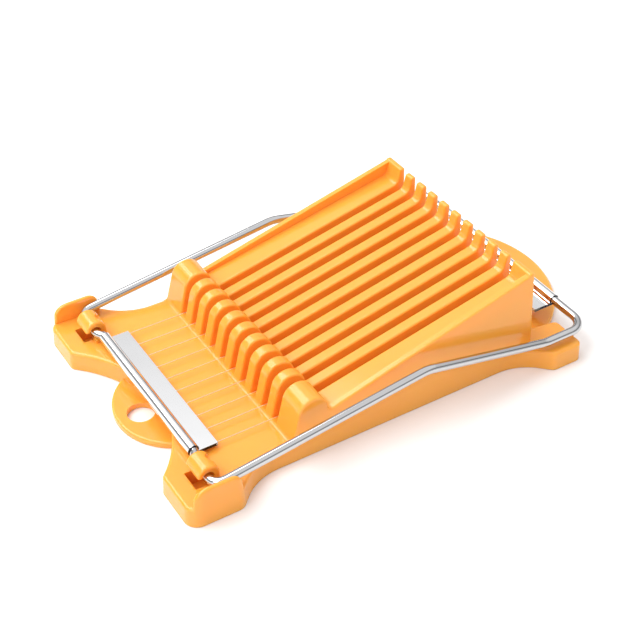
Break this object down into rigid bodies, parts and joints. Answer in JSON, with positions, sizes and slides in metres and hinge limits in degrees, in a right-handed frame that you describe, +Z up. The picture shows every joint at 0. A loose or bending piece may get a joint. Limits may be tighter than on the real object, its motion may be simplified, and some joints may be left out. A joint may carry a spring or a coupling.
{
  "type": "egg slicer",
  "caption": "Wire slicer for eggs and luncheon meat: slotted sloping bed on a footed base, with a hinged wire bail.",
  "frame": {"origin": "bottom centre of the whole object's box, on the table", "axes": "+X from the hinge end to the handle end, Y across, +Z up"},
  "size_m": [0.2212, 0.1376, 0.0464],
  "materials": {
    "moulding": "gloss",
    "rod": "polished",
    "sheet": "polished",
    "wire": "drawn"
  },
  "bodies": {
    "base": {"base": "moulding"},
    "cutting_frame": {"bail": "rod", "hinge_strip": "sheet", "handle_strip": "sheet", "wire_1": "wire", "wire_2": "wire", "wire_3": "wire", "wire_4": "wire", "wire_5": "wire"}
  },
  "joints": [
    {"name": "frame_hinge", "type": "hinge", "parent": "base", "child": "cutting_frame", "pos_m": [-0.0965, 0, 0.0129], "axis": [0, -1, 0], "range_deg": [0, 175]}
  ]
}
